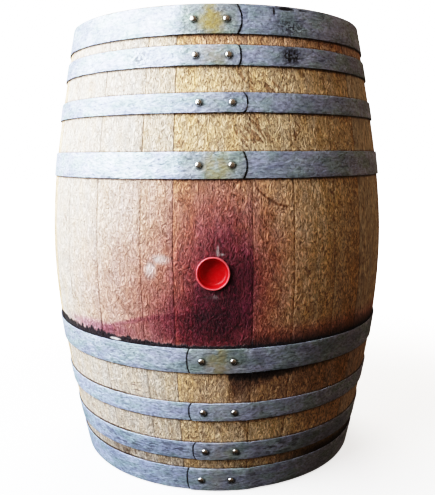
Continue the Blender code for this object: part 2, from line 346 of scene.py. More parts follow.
def facing_outwards():
    """Stands a piece turned about Z on the bung's axis, with its +Z pointing out of the barrel."""
    place = Matrix.Translation((0, -BILGE_RADIUS - BUNG_STANDS_PROUD, BUNG_HEIGHT))
    return place @ Matrix.Rotation(math.pi / 2, 4, "X")


def bung_hole_mesh():
    """The hole's cone, flared where its edge at the stave's outside has been eased."""
    reach = 0.010
    deepest = BUNG_STANDS_PROUD + STAVE_THICKNESS + reach
    flare = 0.0007
    surface = BUNG_STANDS_PROUD
    profile = [
        (0, reach),
        (bung_radius(-reach, GAP) + flare + reach, reach),
        (bung_radius(surface, GAP) + flare, -surface),
        (bung_radius(surface, GAP), -surface - flare),
        (bung_radius(deepest, GAP), -deepest),
        (0, -deepest),
    ]
    return finish_mesh(lathe(profile, BUNG_SIDES), "bung_hole")


def add_staves(oak):
    """Every stave, with its own place, tone and grain kept on the object for the material."""
    tones = random.Random(12)
    for node in STAVES:
        span = stave_span(node)
        seed = tones.uniform(0, 50)
        proud = tones.uniform(-0.00015, 0.00015)
        tone, warmth = tones.uniform(0.3, 0.8), tones.uniform(0.3, 0.8)
        # The staves beside the bung take set tones, paler at left and darker at right as painted light
        # and shade
        tone, warmth = LIT_AND_SHADED_FRONT_TONES.get(node, (tone, warmth))
        mesh = finish_mesh(loft([stave_ring(z, span, seed, proud) for z in stave_heights()]), node)
        if node == "bung_stave":
            mesh = combined(mesh, [(bung_hole_mesh(), facing_outwards())], "DIFFERENCE")
        shade_round(mesh, 40)
        stave = add_piece(node, mesh, oak)
        stave["middle"] = math.degrees(span.middle)
        stave["half_width"] = math.degrees(span.half)
        stave["seed"] = seed
        stave["tone"] = tone
        stave["warmth"] = warmth
        stave["wrinkle_pitch"] = 0.52 if node in LIT_AND_SHADED_FRONT_TONES else 0.28


# Heads


def head_outline():
    """Half of a head's section as (radius, depth) points from the axis out, round the lip and back."""
    lip_radius = croze_radius() - LIP_PLAY
    soft = 0.0010  # rounds the start of each bevel and the lip's edges
    bevel_slope = (LIP_DEPTH - HEAD_FACE_DEPTH) / (OUTER_BEVEL - CROZE_CUT)
    back_slope = (HEAD_BACK_DEPTH - LIP_END) / (INNER_BEVEL - CROZE_CUT)
    return [
        (0, HEAD_FACE_DEPTH),
        (lip_radius - OUTER_BEVEL - soft, HEAD_FACE_DEPTH),
        (lip_radius - OUTER_BEVEL + soft, HEAD_FACE_DEPTH + soft * bevel_slope),
        (lip_radius - CROZE_CUT, LIP_DEPTH),
        (lip_radius - soft, LIP_DEPTH),
        (lip_radius, LIP_DEPTH + soft),
        (lip_radius, LIP_END - soft),
        (lip_radius - soft, LIP_END),
        (lip_radius - CROZE_CUT, LIP_END),
        (lip_radius - INNER_BEVEL + soft, HEAD_BACK_DEPTH - soft * back_slope),
        (lip_radius - INNER_BEVEL - soft, HEAD_BACK_DEPTH),
        (0, HEAD_BACK_DEPTH),
    ]


def board_side(side, inwards, key, half):
    """A board's side from face to face as (x, depth) points, with a groove or tongue.

    key and half are the groove's or tongue's length and half its thickness. inwards is 1 at the
    board's left and -1 at its right.
    """
    middle = (HEAD_FACE_DEPTH + HEAD_BACK_DEPTH) / 2
    eased = side + inwards * BOARD_ARRIS
    beyond = eased + inwards * BLANK_REACH
    return [
        (beyond, HEAD_FACE_DEPTH - BLANK_REACH), (eased, HEAD_FACE_DEPTH),
        (side, HEAD_FACE_DEPTH + BOARD_ARRIS), (side, middle - half), (side + key, middle - half),
        (side + key, middle + half), (side, middle + half), (side, HEAD_BACK_DEPTH - BOARD_ARRIS),
        (eased, HEAD_BACK_DEPTH), (beyond, HEAD_BACK_DEPTH + BLANK_REACH),
    ]


def board_section(left, right):
    """A board's section between two joints, or past the head's edge where a joint is None."""
    half = TONGUE_THICKNESS / 2
    past = 2 * END_RADIUS
    shallow, deep = HEAD_FACE_DEPTH - BLANK_REACH, HEAD_BACK_DEPTH + BLANK_REACH
    left_side = [(-past, shallow), (-past, deep)]
    right_side = [(past, shallow), (past, deep)]
    if left is not None:
        left_side = board_side(left + GAP / 2, 1, TONGUE_LENGTH + GAP, half + GAP)
    if right is not None:
        right_side = board_side(right - GAP / 2, -1, TONGUE_LENGTH, half)
    return left_side + right_side[::-1]


def add_heads(oak):
    tones = random.Random(5)
    for prefix in ("top", "bottom"):
        boards = [f"{prefix}_head_board_{number}" for number in range(1, 6)]
        # A tongue reaches past its joint, so joints are read from each board's left side.
        joints = [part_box(board)[0].x - GAP / 2 for board in boards[1:]]
        edges = [None, *joints, None]
        for board, left, right in zip(boards, edges, edges[1:]):

            def height_at(depth, prefix=prefix):
                return HEIGHT - depth if prefix == "top" else depth

            turned = lathe([(radius, height_at(depth)) for radius, depth in head_outline()], HEAD_SIDES)
            blank = loft(
                [[(x, y, height_at(d)) for x, d in board_section(left, right)]
                 for y in (-END_RADIUS, END_RADIUS)]
            )
            cutter = (finish_mesh(blank, "blank"), Matrix())
            mesh = combined(finish_mesh(turned, board), [cutter], "INTERSECT")
            shade_round(mesh, 25)
            piece = add_piece(board, mesh, oak)
            piece["seed"] = tones.uniform(0, 50)
            piece["tone"] = tones.uniform(0.25, 0.85)
            piece["warmth"] = tones.uniform(0.3, 0.8)
            piece["wrinkle_pitch"] = 0.16
            piece["left_joint"] = -HEIGHT if left is None else left
            piece["right_joint"] = HEIGHT if right is None else right


# Hoops and rivets

Hoop = namedtuple("Hoop", "node middle width radius slope lap side tail bow power rust age")


def read_hoop(node):
    """A hoop's measurements. side is 1 where the end on top points towards +X, or -1."""
    low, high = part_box(node)
    middle, width = (low.z + high.z) / 2, high.z - low.z
    low_radius, high_radius = outer_radius(low.z), outer_radius(high.z)
    angles = [rivet_azimuth(rivet) for rivet in rivets_of(node)]
    return Hoop(
        node, middle, width, (low_radius + high_radius) / 2, (high_radius - low_radius) / width,
        sum(angles) / 2, 1 if node.startswith("top") else -1, *HOOP_LOOKS[node],
    )


def rivets_of(node):
    return [f"{node.removesuffix('_hoop')}_rivet_{label}" for label in ("left", "right")]


def rivet_azimuth(node):
    corners = cad_points(node)
    return azimuth_of(sum(corners, Vector()) / len(corners))


def bow_half(hoop, from_end):
    """Half the strip's width near its bowed end."""
    return hoop.width / 2 * min(1.0, from_end / hoop.bow) ** (1 / hoop.power)


def smooth(share):
    share = min(1.0, max(0.0, share))
    return share * share * (3 - 2 * share)


def strip_stations(hoop):
    """(distance, climb, half width) along a strip that goes once round and ends on top of itself.

    Distance 0 is the centre of the lap.
    """
    once_round = math.tau * hoop.radius
    tail = RIVET_PITCH / 2 + hoop.tail
    climb_end = once_round - tail - LAP_CLEAR
    climb_start = climb_end - LAP_RAMP
    end = once_round + tail
    lift = HOOP_THICKNESS + GAP
    pitch = 0.0085

    def evenly(start, stop, step):
        count = max(1, round((stop - start) / step))
        return [start + (stop - start) * n / count for n in range(count)]

    half = hoop.width / 2
    cut = [(-tail, 0, half - 0.0004), (-tail + 0.0004, 0, half)]
    flat = [(d, 0, half) for d in evenly(-tail + 0.004, climb_start, pitch)]
    climbing = evenly(climb_start, climb_end, 0.0030)
    ramp = [(d, lift * smooth((d - climb_start) / LAP_RAMP), half) for d in climbing]
    lap = [(d, lift, half) for d in evenly(climb_end, end - hoop.bow, 0.006)]
    shares = (1, 0.8, 0.6, 0.42, 0.28, 0.17, 0.09, 0.04, 0.012, 0.002)
    bow = [(end - hoop.bow * s, lift, bow_half(hoop, hoop.bow * s)) for s in shares]
    return cut + flat + ramp + lap + bow


def strip_section(half):
    """Ring of (across, depth) points round the strip's section, from its inner face outwards."""
    round_off = min(0.0006, half * 0.45)
    outer = HOOP_THICKNESS - round_off
    flat = half - round_off
    ring = [(-flat * 0.5, 0), (0, 0), (flat * 0.5, 0)]
    ring += arc((flat, round_off), round_off, -90, 0, 2)
    ring += arc((flat, outer), round_off, 0, 90, 3)
    ring += [(flat * share, HOOP_THICKNESS) for share in (0.6, 0.2, -0.2, -0.6)]
    ring += arc((-flat, outer), round_off, 90, 180, 3)
    ring += arc((-flat, round_off), round_off, 180, 270, 2)
    return ring


def hoop_mesh(hoop, seed):
    """A strip with wavering edges, small dents and the nicks of a driving hammer."""
    sections = []
    for distance, climb, half in strip_stations(hoop):
        angle = hoop.lap + hoop.side * distance / hoop.radius
        place = Vector((math.sin(angle), math.cos(angle), seed)) * 3
        sway = HOOP_SWAY * uneven(place.x, place.y, seed)
        ring = []
        for across, depth in strip_section(half):
            edge = abs(across) / (hoop.width / 2)
            nick = max(0, uneven(place.x * 9, place.y * 9, seed + math.copysign(5, across)) - 0.35)
            across -= math.copysign(NICK_DEPTH * nick * edge**6, across)
            dent = DENT_DEPTH * uneven(place.x * 5, place.y * 5, across * 60) if depth > 0 else 0
            stand = hoop.radius + hoop.slope * across + HOOP_SEAT + climb + depth + dent
            ring.append(around(angle, stand, hoop.middle + across + sway))
        sections.append(ring)
    return finish_mesh(loft(sections), hoop.node)


def mark_lap(mesh, hoop):
    """Keeps on each face corner how far past the bowed end on top it lies, for the dirt caught there."""
    tail = RIVET_PITCH / 2 + hoop.tail
    past = mesh.attributes.new("past_end", "FLOAT", "CORNER")
    top = hoop.radius + HOOP_SEAT + HOOP_THICKNESS + GAP / 2
    for loop in mesh.loops:
        point = mesh.vertices[loop.vertex_index].co
        across = point.z - hoop.middle
        turned = hoop.side * math.remainder(azimuth_of(point) - hoop.lap, math.tau)
        end = tail - hoop.bow * min(1.0, abs(across) / (hoop.width / 2)) ** hoop.power
        on_top = point.xy.length - hoop.slope * across > top
        near = 0 < turned < 0.5 and not on_top
        past.data[loop.index].value = turned * hoop.radius - end if near else 1.0


def rivet_placing(hoop, angle):
    """Stands a piece on the lap's outer face, square to it."""
    outward = around(angle, 1, -hoop.slope).normalized()
    face = around(angle, hoop.radius + HOOP_SEAT + LAP_THICKNESS, hoop.middle)
    return Matrix.Translation(face) @ outward.to_track_quat("Z", "Y").to_matrix().to_4x4()


def rivet_hole_mesh():
    tail, shank = RIVET_TAIL_RADIUS + GAP, RIVET_SHANK_RADIUS + GAP
    reach = 0.002
    profile = [
        (0, -LAP_THICKNESS - reach), (tail, -LAP_THICKNESS - reach), (tail, -LAP_THICKNESS),
        (shank, COUNTERSINK_TOP), (shank, reach), (0, reach),
    ]
    return finish_mesh(lathe(profile, RIVET_SIDES), "rivet_hole")


def rivet_mesh(name, placing, seed):
    """A rivet with a low dome, slightly flattened and dimpled by the hammer."""
    dome = [
        (RIVET_HEAD_RADIUS * math.cos(rise) ** 0.65, GAP + RIVET_HEAD_HEIGHT * math.sin(rise) ** 1.1)
        for rise in (math.radians(10 * step) for step in range(1, 9))
    ]
    profile = [
        (0, -LAP_THICKNESS), (RIVET_TAIL_RADIUS - 0.0004, -LAP_THICKNESS),
        (RIVET_TAIL_RADIUS, -LAP_THICKNESS + 0.0003),
        (RIVET_SHANK_RADIUS, COUNTERSINK_TOP), (RIVET_SHANK_RADIUS, GAP),
        (RIVET_HEAD_RADIUS - 0.0003, GAP), (RIVET_HEAD_RADIUS, GAP + 0.0003), *dome,
        (0, GAP + RIVET_HEAD_HEIGHT),
    ]
    bm = lathe(profile, RIVET_SIDES)
    for vertex in bm.verts:
        if vertex.co.z > GAP + 0.0006:
            dimple = uneven(vertex.co.x * 420, vertex.co.y * 420, seed)
            vertex.co.z -= DIMPLE_DEPTH * abs(dimple)
            vertex.co.xy *= 1 + 0.03 * uneven(vertex.co.x * 150, vertex.co.y * 150, seed + 9)
    bm.transform(placing)
    mesh = finish_mesh(bm, name)
    shade_round(mesh, 45)
    return mesh


def add_hoops(steel, rivet_steel):
    hole = rivet_hole_mesh()
    for number, node in enumerate(HOOPS):
        hoop = read_hoop(node)
        rivets = rivets_of(node)
        placings = [rivet_placing(hoop, rivet_azimuth(rivet)) for rivet in rivets]
        holes = [(hole, placing) for placing in placings]
        mesh = combined(hoop_mesh(hoop, number * 7.3), holes, "DIFFERENCE")
        shade_round(mesh, 40)
        mark_lap(mesh, hoop)
        strip = add_piece(node, mesh, steel)
        strip["lap"] = math.degrees(hoop.lap)
        strip["middle_height"] = hoop.middle
        strip["rust"], strip["age"] = hoop.rust, hoop.age
        for rivet, placing in zip(rivets, placings):
            add_piece(rivet, rivet_mesh(rivet, placing, number + 0.5), rivet_steel)


# Bung


def add_bung(silicone):
    """A hollow-topped cone with a soft round lip."""
    lip = BUNG_WALL / 2
    floor = -BUNG_RECESS_DEPTH
    recess = bung_radius(0) - BUNG_WALL
    dished = 0.0002
    floor_corner, tip_corner = 0.0075, 0.0025
    profile = [(0, floor), (recess * 0.3, floor + dished)]
    profile += arc((recess - floor_corner, floor + floor_corner + dished), floor_corner, -90, -8, 7)
    profile += arc((bung_radius(0) - lip, -lip), lip, 180, 8, 10)
    profile += [(bung_radius(0.006), -0.006), (bung_radius(0.02), -0.02)]
    profile += arc((BUNG_TIP_RADIUS - tip_corner, -BUNG_LENGTH + tip_corner), tip_corner, -5, -90, 4)
    bm = lathe(profile + [(0, -BUNG_LENGTH)], BUNG_SIDES)
    for vertex in bm.verts:
        if vertex.co.z > -0.004:
            turn = math.atan2(vertex.co.y, vertex.co.x)
            vertex.co.z += BUNG_LIP_WAVER * uneven(math.cos(turn) * 2, math.sin(turn) * 2, 4)
    bm.transform(facing_outwards())
    mesh = finish_mesh(bm, "bung")
    shade_round(mesh, 60)
    add_piece("bung", mesh, silicone, "bung")


# Fields: values that vary over a surface


def math_method(name):
    """A method that works on a field, and on another field or number where the sum takes one."""

    def method(self, *others):
        return calculated(self.tree, name, self, *others)

    return method


class Field:
    """The output of a node. Arithmetic on fields adds nodes to their material."""

    def __init__(self, tree, socket):
        self.tree = tree
        self.socket = socket

    __add__ = math_method("ADD")
    __sub__ = math_method("SUBTRACT")
    __mul__ = math_method("MULTIPLY")
    __truediv__ = math_method("DIVIDE")
    __pow__ = math_method("POWER")
    larger = math_method("MAXIMUM")
    smaller = math_method("MINIMUM")
    size = math_method("ABSOLUTE")
    root = math_method("SQRT")
    exponent = math_method("EXPONENT")
    radians = math_method("RADIANS")
    degrees = math_method("DEGREES")
    angle_over = math_method("ARCTAN2")
    wrap = math_method("WRAP")

    def __rsub__(self, other):
        return calculated(self.tree, "SUBTRACT", other, self)

    def rise(self, low, high):
        """0 up to low and 1 from high on, with a smooth step between. low may be the larger."""
        inputs = {"Value": self, "From Min": low, "From Max": high}
        steps = {"interpolation_type": "SMOOTHSTEP", "clamp": True}
        return new_field(self.tree, "ShaderNodeMapRange", inputs, "Result", **steps)

    def plateau(self, low, full_from, full_to, high):
        """1 from full_from to full_to, falling to 0 at low and at high."""
        return self.rise(low, full_from) * self.rise(high, full_to)

    def near(self, centre, reach, soft):
        """1 within reach of centre, 0 beyond reach and soft."""
        return (self - centre).size().rise(reach + soft, reach)


def fill(tree, socket, value):
    """Links a field to a socket, or sets the socket to a number or colour."""
    if isinstance(value, Field):
        tree.links.new(value.socket, socket)
    elif socket.type == "RGBA":
        socket.default_value = (*value, 1)
    else:
        socket.default_value = value


def add_node(tree, kind, inputs, **settings):
    """A node with its settings and inputs, which are numbers, colours or fields, keyed by socket."""
    node = tree.nodes.new(kind)
    for name, value in settings.items():
        setattr(node, name, value)
    for key, value in inputs.items():
        fill(tree, node.inputs[key], value)
    return node


def new_field(tree, kind, inputs, output=0, **settings):
    return Field(tree, add_node(tree, kind, inputs, **settings).outputs[output])


def calculated(tree, operation, *values):
    return new_field(tree, "ShaderNodeMath", dict(enumerate(values)), operation=operation)


def strongest(*fields):
    return functools.reduce(Field.larger, fields)


def hypotenuse(aside, up):
    return (aside * aside + up * up).root()


class Surface:
    """A material being made: its colour so far, and the coordinates that patterns are drawn in."""

    def __init__(self, name):
        self.colour = None
        self.material = bpy.data.materials.new(name)
        self.material.use_nodes = True
        self.tree = self.material.node_tree
        self.shader = self.tree.nodes["Principled BSDF"]
        place = add_node(self.tree, "ShaderNodeTexCoord", {})
        self.place = Field(self.tree, place.outputs["Object"])
        self.x, self.y, self.z = self.parts(self.place)
        self.facing = self.parts(Field(self.tree, place.outputs["Normal"]))
        self.azimuth = self.x.angle_over(self.y * -1).degrees()
        self.radius = hypotenuse(self.x, self.y)
        # 1 on the bung's half, fading to 0 before the azimuth jumps at the back.
        self.front = self.azimuth.size().rise(150.0, 105.0)

    def parts(self, whole):
        split = add_node(self.tree, "ShaderNodeSeparateXYZ", {0: whole})
        return [Field(self.tree, output) for output in split.outputs]

    def vector(self, x, y, z):
        return new_field(self.tree, "ShaderNodeCombineXYZ", {0: x, 1: y, 2: z})

    def set(self, name, value):
        fill(self.tree, self.shader.inputs[name], value)

    def own(self, name, level="OBJECT"):
        """A number kept on each object that wears the material or, with GEOMETRY, on its mesh."""
        settings = {"attribute_type": level, "attribute_name": name}
        return new_field(self.tree, "ShaderNodeAttribute", {}, "Fac", **settings)

    def noise(self, place, scale, detail=3.0, roughness=0.55, distortion=0.0):
        inputs = {
            "Vector": place, "Scale": scale, "Detail": detail, "Roughness": roughness,
            "Distortion": distortion,
        }
        return new_field(self.tree, "ShaderNodeTexNoise", inputs)

    def mix(self, amount, base, other, blend="MIX"):
        inputs = {0: amount, 6: base, 7: other}
        settings = {"data_type": "RGBA", "blend_type": blend, "clamp_factor": True}
        return new_field(self.tree, "ShaderNodeMix", inputs, 2, **settings)

    def paint(self, amount, colour, blend="MIX"):
        """Lays a colour over the surface's own, opaque where amount is 1."""
        self.colour = self.mix(amount, self.colour, colour, blend)

    def tint(self, amount, colour):
        """Multiplies the surface's colour by another, fully where amount is 1."""
        self.paint(amount, colour, "MULTIPLY")

    def dye(self, strength, density):
        """Shows the surface through a dye, whose density is given for red, green and blue."""
        passes = [calculated(self.tree, "POWER", math.exp(-each), strength) for each in density]
        self.tint(1.0, new_field(self.tree, "ShaderNodeCombineColor", dict(enumerate(passes))))

    def patch(self, azimuth, height, wide, tall, soft=0.5):
        """1 inside an ellipse on the barrel's side, fading to 0 over soft of its size outside it."""
        aside = (self.azimuth - azimuth) / wide
        up = (self.z - height) / tall
        return hypotenuse(aside, up).rise(1 + soft, 1 - soft)

    def patches(self, *places):
        return strongest(*[self.patch(*place) for place in places])

    def finish(self, roughness, height, depth):
        """Joins the colour, roughness and a height field, in units of depth, to the shader."""
        self.set("Base Color", self.colour)
        self.set("Roughness", roughness)
        self.set("Normal", new_field(self.tree, "ShaderNodeBump", {"Height": height, "Distance": depth}))
        return self.material


# Oak

PALE_OAK = (0.72, 0.63, 0.49)
GREY_OAK = (0.65, 0.60, 0.54)
TAN_OAK = (0.62, 0.46, 0.31)
GOLD_OAK = (0.685, 0.462, 0.230)
END_GRAIN = (0.20, 0.13, 0.075)
TOASTED_OAK = (0.055, 0.028, 0.022)
SOAKED_OAK = (0.10, 0.045, 0.035)
SOAKED_HEAD = (0.09, 0.035, 0.035)
LEES_AND_SHADE_BLACK = (0.012, 0.008, 0.012)
DRIED_WINE = (0.16, 0.12, 0.11)
DREGS = (0.80, 0.74, 0.72)
FLAKE = (0.9, 0.86, 0.84)

# Tints that multiply the wood's own colour
GROOVE_DIRT_AND_SHADE_TINT = (0.66, 0.50, 0.36)
STREAK_TINT = (0.62, 0.45, 0.30)
PORE_TINT = (0.40, 0.27, 0.17)
FLECK_TINT = (0.42, 0.27, 0.17)
SEAM_TINT = (0.28, 0.17, 0.10)
MARK_TINT = (0.30, 0.18, 0.10)
HOOP_SHADOW_AND_GRIME_TINT = (0.16, 0.11, 0.08)
FOOT_GRIME_AND_SHADE_TINT = (0.42, 0.40, 0.38)
GAP_GRIME_AND_SHADE_TINT = (0.22, 0.15, 0.10)
RIGHT_FOOT_SHADE_TINT = (0.10, 0.08, 0.07)
BAND_TINT = (0.08, 0.05, 0.05)
HEAD_RIM_TINT = (0.36, 0.26, 0.19)
HEAD_JOINT_TINT = (0.20, 0.13, 0.09)

# Densities of a dye for red, green and blue
HAZE_DENSITY = (0.42, 0.92, 1.0)
WINE_DENSITY = (0.57, 1.08, 0.60)
BAND_DENSITY = (0.75, 1.0, 1.05)
STREAK_DENSITY = (1.0, 1.12, 1.15)

LOWEST_GAP = 0.0605  # height of the bare wood between the lowest two hoops
LIT_AND_SHADED_FRONT_TONES = {  # how dark and how golden the staves beside the bung are, from 0 to 1; those left of the bung are paler and those right of it darker, as painted light and shade
    "bung_stave": (0.80, 0.72),
    "stave_24": (0.35, 0.35),
    "stave_23": (0.20, 0.15),
    "stave_22": (0.18, 0.15),
    "stave_21": (0.20, 0.15),
    "stave_01": (0.70, 1.0),
    "stave_02": (0.82, 0.92),
    "stave_03": (0.82, 0.85),
}


def paint_oak(surface, across, along, into):
    """Paints scraped oak with growth streaks, pores, ripples and ray flecks, and gives its height."""
    seed = surface.own("seed")
    # The grain is drawn out along the wood and, less, into it.
    grain = surface.vector(across + seed, into * 0.2 + seed * 0.37, along * 0.055)
    broad = surface.noise(grain, 38, detail=3, distortion=0.25)
    streaks = surface.noise(grain, 170, detail=4, roughness=0.62)
    pores = surface.noise(grain, 900, detail=2).rise(0.57, 0.68)
    skin = surface.vector(across + seed, along * surface.own("wrinkle_pitch"), into)
    mottle = surface.noise(skin, 48, detail=4)
    ripple = surface.noise(skin, 250, detail=2, roughness=0.6, distortion=1.2)
    waves = (surface.noise(skin, 150, detail=1, distortion=0.8) - 0.5).size()

    tone = surface.own("tone") + (broad - 0.5) * 0.7 + (mottle - 0.5) * 0.9
    warm = surface.own("warmth") + (broad - 0.5) * 0.5 + (mottle - 0.5) * 0.6
    light = surface.mix(warm, GREY_OAK, PALE_OAK)
    dark = surface.mix(warm, TAN_OAK, GOLD_OAK)
    surface.colour = surface.mix(tone, light, dark)
    # The ripples are painted darker in their grooves and lighter on their ridges: partly dirt in the
    # grooves, partly painted shade and highlight that follow the bumps
    contrast = surface.own("tone").rise(0.0, 0.7) * 0.36 + 0.6
    rough = (ripple - 0.5) * 2.0 + (waves - 0.08) * 4.0
    surface.tint(1.0, rough * contrast + 1)
    surface.tint(waves.rise(0.035, 0.0) * contrast * 0.45, GROOVE_DIRT_AND_SHADE_TINT)
    surface.tint(streaks.rise(0.42, 0.72) * 0.22, STREAK_TINT)
    surface.tint(pores * 0.22, PORE_TINT)

    slanted = surface.vector(across + along * 0.35 + seed, along - across * 0.2, seed)
    wavy = surface.noise(slanted, 95, detail=2, roughness=0.5, distortion=0.7)
    patchy = surface.noise(slanted, 21, detail=1)
    flecks = (wavy - 0.5).size().rise(0.022, 0.0) * patchy.rise(0.48, 0.62)
    surface.tint(flecks * 0.6, FLECK_TINT)

    return streaks * 0.4 + ripple * 4.0 + waves * 5.0 - pores * 0.4 - flecks * 0.3


def stave_coordinates(surface):
    """(across, from_seam, depth) in metres on a stave: round it, to its nearer seam and into it."""
    turned = (surface.azimuth - surface.own("middle")).wrap(180.0, -180.0)
    across = turned.radians() * BILGE_RADIUS
    from_seam = (surface.own("half_width") - turned.size()).radians() * surface.radius
    along = (surface.z - MID_HEIGHT) / MID_HEIGHT * BEND
    bend = (along * along + 1).root() - 1
    fall = (BILGE_RADIUS - END_RADIUS) / (math.hypot(1, BEND) - 1)
    depth = (bend * -fall + BILGE_RADIUS) - surface.radius
    return across, from_seam, depth


def spill_wine(surface):
    """Dyes the wood with wine that ran from the bung: dense purple in a wide brownish haze."""
    azimuth, z = surface.azimuth, surface.z
    round_skin = azimuth * 0.0085
    wander = surface.noise(surface.vector(round_skin, z, 0.0), 18, detail=5, roughness=0.6)
    fine = surface.noise(surface.vector(round_skin, z * 0.7, 0.3), 120, detail=4)
    ragged_azimuth = azimuth + (wander - 0.5) * 10
    ragged_z = z + (wander - 0.5) * 0.045

    def blot(centre, height, wide, tall):
        """1 at a place, falling off smoothly over about wide degrees and tall metres."""
        aside = (ragged_azimuth - centre) / wide
        up = (ragged_z - height) / tall
        return ((aside * aside + up * up) * -0.8).exponent()

    # The spill ran left along a line that drops towards the hoop.
    line = (ragged_azimuth / 36.0) ** 2 * -0.041 + 0.359
    below_line = (line - z).rise(-0.005, 0.006) * ragged_azimuth.plateau(-50.0, -36.0, -6.0, 12.0)
    along_line = (line - z - 0.002).size().rise(0.007, 0.0)
    along_line = along_line * ragged_azimuth.plateau(-40.0, -24.0, 2.0, 9.0)

    past_seam = azimuth.rise(10.4, 11.8)
    left_run = z.rise(0.540, 0.340) * azimuth.plateau(-58.0, -30.0, -14.0, 2.0)
    left_run = left_run * 0.45 + blot(-18.0, 0.385, 7.0, 0.050) * 0.25
    foot = z.rise(0.345, 0.300) * azimuth.rise(-8.0, 3.0) * surface.front
    beyond = blot(14.5, 0.390, 7.5, 0.150) * past_seam * 0.38
    haze = blot(-4.0, 0.450, 21.0, 0.170) * 0.85 + left_run + beyond + foot * 0.5 + below_line * 0.25
    core = blot(3.4, 0.420, 9.6, 0.074) * 2.8 * (past_seam * -0.45 + 1)
    above = blot(1.0, 0.540, 10.0, 0.050) * 0.40
    pool = blot(-1.5, 0.338, 10.5, 0.042) * 2.3 * (past_seam * -0.45 + 1)
    wine = core + above + pool + foot * 0.35 + below_line * 0.30 + along_line * 0.40
    flush = surface.patch(-40.0, 0.314, 12.0, 0.011, 0.8) * 0.7

    lower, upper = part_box("bottom_bilge_hoop"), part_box("top_bilge_hoop")
    between_hoops = z.plateau(lower[0].z, lower[1].z, upper[0].z, upper[1].z)
    surface.dye(haze * (fine * 0.5 + 0.75) * between_hoops, HAZE_DENSITY)
    surface.dye((wine + flush) * (fine * 0.8 + 0.6) * between_hoops, WINE_DENSITY)


def lees_crust_and_shade(surface, hoop_top):
    """Dried black lees along the upper edge of the hoop that the spill ran onto, and a painted shade
    above the hoop right of the bung, darkest at the hoop and gone 30 mm above it.
    """
    azimuth, front = surface.azimuth, surface.front
    skin = surface.vector(surface.x * 1.4, surface.y * 1.4, surface.z * 0.3)
    ragged = surface.noise(skin, 75, detail=4, roughness=0.65)
    left = azimuth.rise(-16.0, -30.0) * front
    far_left = azimuth.rise(-54.0, -64.0) * front
    spikes = ragged.rise(0.32, 0.74) * (left * 0.0065 + 0.0045) * (1 - far_left)
    thicker = left * 0.0020 + azimuth.rise(-6.0, -18.0) * front * 0.0024
    tall = spikes + thicker + far_left * 0.009 + front * 0.0044 - 0.0010
    above = surface.z - hoop_top
    solid = (tall - above).rise(-0.0030, 0.0014)
    splinter = surface.patch(11.2, hoop_top + 0.005, 0.6, 0.012, 0.8)
    # A painted shade above the hoop, right of the bung
    shade = above.rise(0.030, 0.0) * azimuth.rise(4.0, 12.0) * front * 0.88
    return strongest(solid, splinter, shade) * above.rise(-0.008, -0.006)


def streak_below(surface, hoop_bottom):
    """Paints wine that crept under the hoop and dried in a dark streak, right of the bung."""
    azimuth = surface.azimuth
    threads = surface.noise(surface.vector(azimuth * 0.010, surface.z * 0.3, 3.0), 110, detail=4)
    down = hoop_bottom - surface.z
    below = down.rise(-0.004, 0.0)
    reach = (azimuth * -1 + 25.0) * 0.0029 - down + (threads - 0.5) * 0.02
    streak = reach.rise(-0.010, 0.034) * azimuth.rise(3.6, 6.2) * below
    band = down.rise(0.105, 0.085) * below
    right = azimuth.plateau(3.6, 6.5, 22.0, 42.0)
    soaked = azimuth.rise(-16.0, 3.0) * surface.front * 0.22 + right * 0.34
    surface.dye(soaked * band, BAND_DENSITY)
    surface.dye(streak * (threads * 0.8 + 0.8), STREAK_DENSITY)
    tapering = azimuth.plateau(2.5, 5.0, 16.0, 46.0)
    thin = (down - tapering * 0.014 - (threads - 0.5) * 0.03).rise(0.006, -0.004) * tapering * below
    surface.tint(thin * 0.92, BAND_TINT)
    dashes = surface.patches((-26.5, 0.2115, 0.9, 0.0011), (-25.2, 0.2015, 1.1, 0.0011))
    surface.paint(dashes, DRIED_WINE)


def light_smudges(surface):
    """Pale dried splashes left of the bung, a drip above it and dregs below it."""
    cloudy = surface.noise(surface.vector(surface.azimuth * 0.012, surface.z, 5.0), 55, detail=4)
    splashes = surface.patches((-17.8, 0.433, 1.5, 0.012, 0.7), (-14.8, 0.4525, 2.1, 0.007, 0.8))
    drip = surface.patches((1.3, 0.468, 0.40, 0.008, 0.6), (2.4, 0.4625, 0.7, 0.0018, 0.9)) * 0.6
    dregs = surface.patch(0.8, 0.3895, 2.2, 0.0035, 0.9) * cloudy.rise(0.38, 0.66) * 0.28
    return strongest(splashes * (cloudy.rise(0.30, 0.65) * 0.5 + 0.5), drip, dregs)


def chatter(surface, across):
    """Short slanting strokes that a scraper left, right of the bung below the upper hoops."""
    seed = surface.own("seed")
    forward = (across - surface.z * 1.1) * 0.67
    aside = (across * 1.1 + surface.z) * 0.67
    strokes = surface.noise(surface.vector(forward * 0.25 + seed, aside, seed), 130, detail=1)
    scattered = surface.noise(surface.vector(across, surface.z, seed), 26, detail=2)
    # Below the second hoop, below the third and beside a seam
    where = surface.patches(
        (14.5, 0.755, 9.0, 0.030, 0.6), (12.5, 0.662, 5.0, 0.040, 0.6), (26.0, 0.665, 3.0, 0.035, 0.6)
    )
    return strokes.rise(0.54, 0.62) * where.larger(scattered.rise(0.56, 0.66) * 0.6)


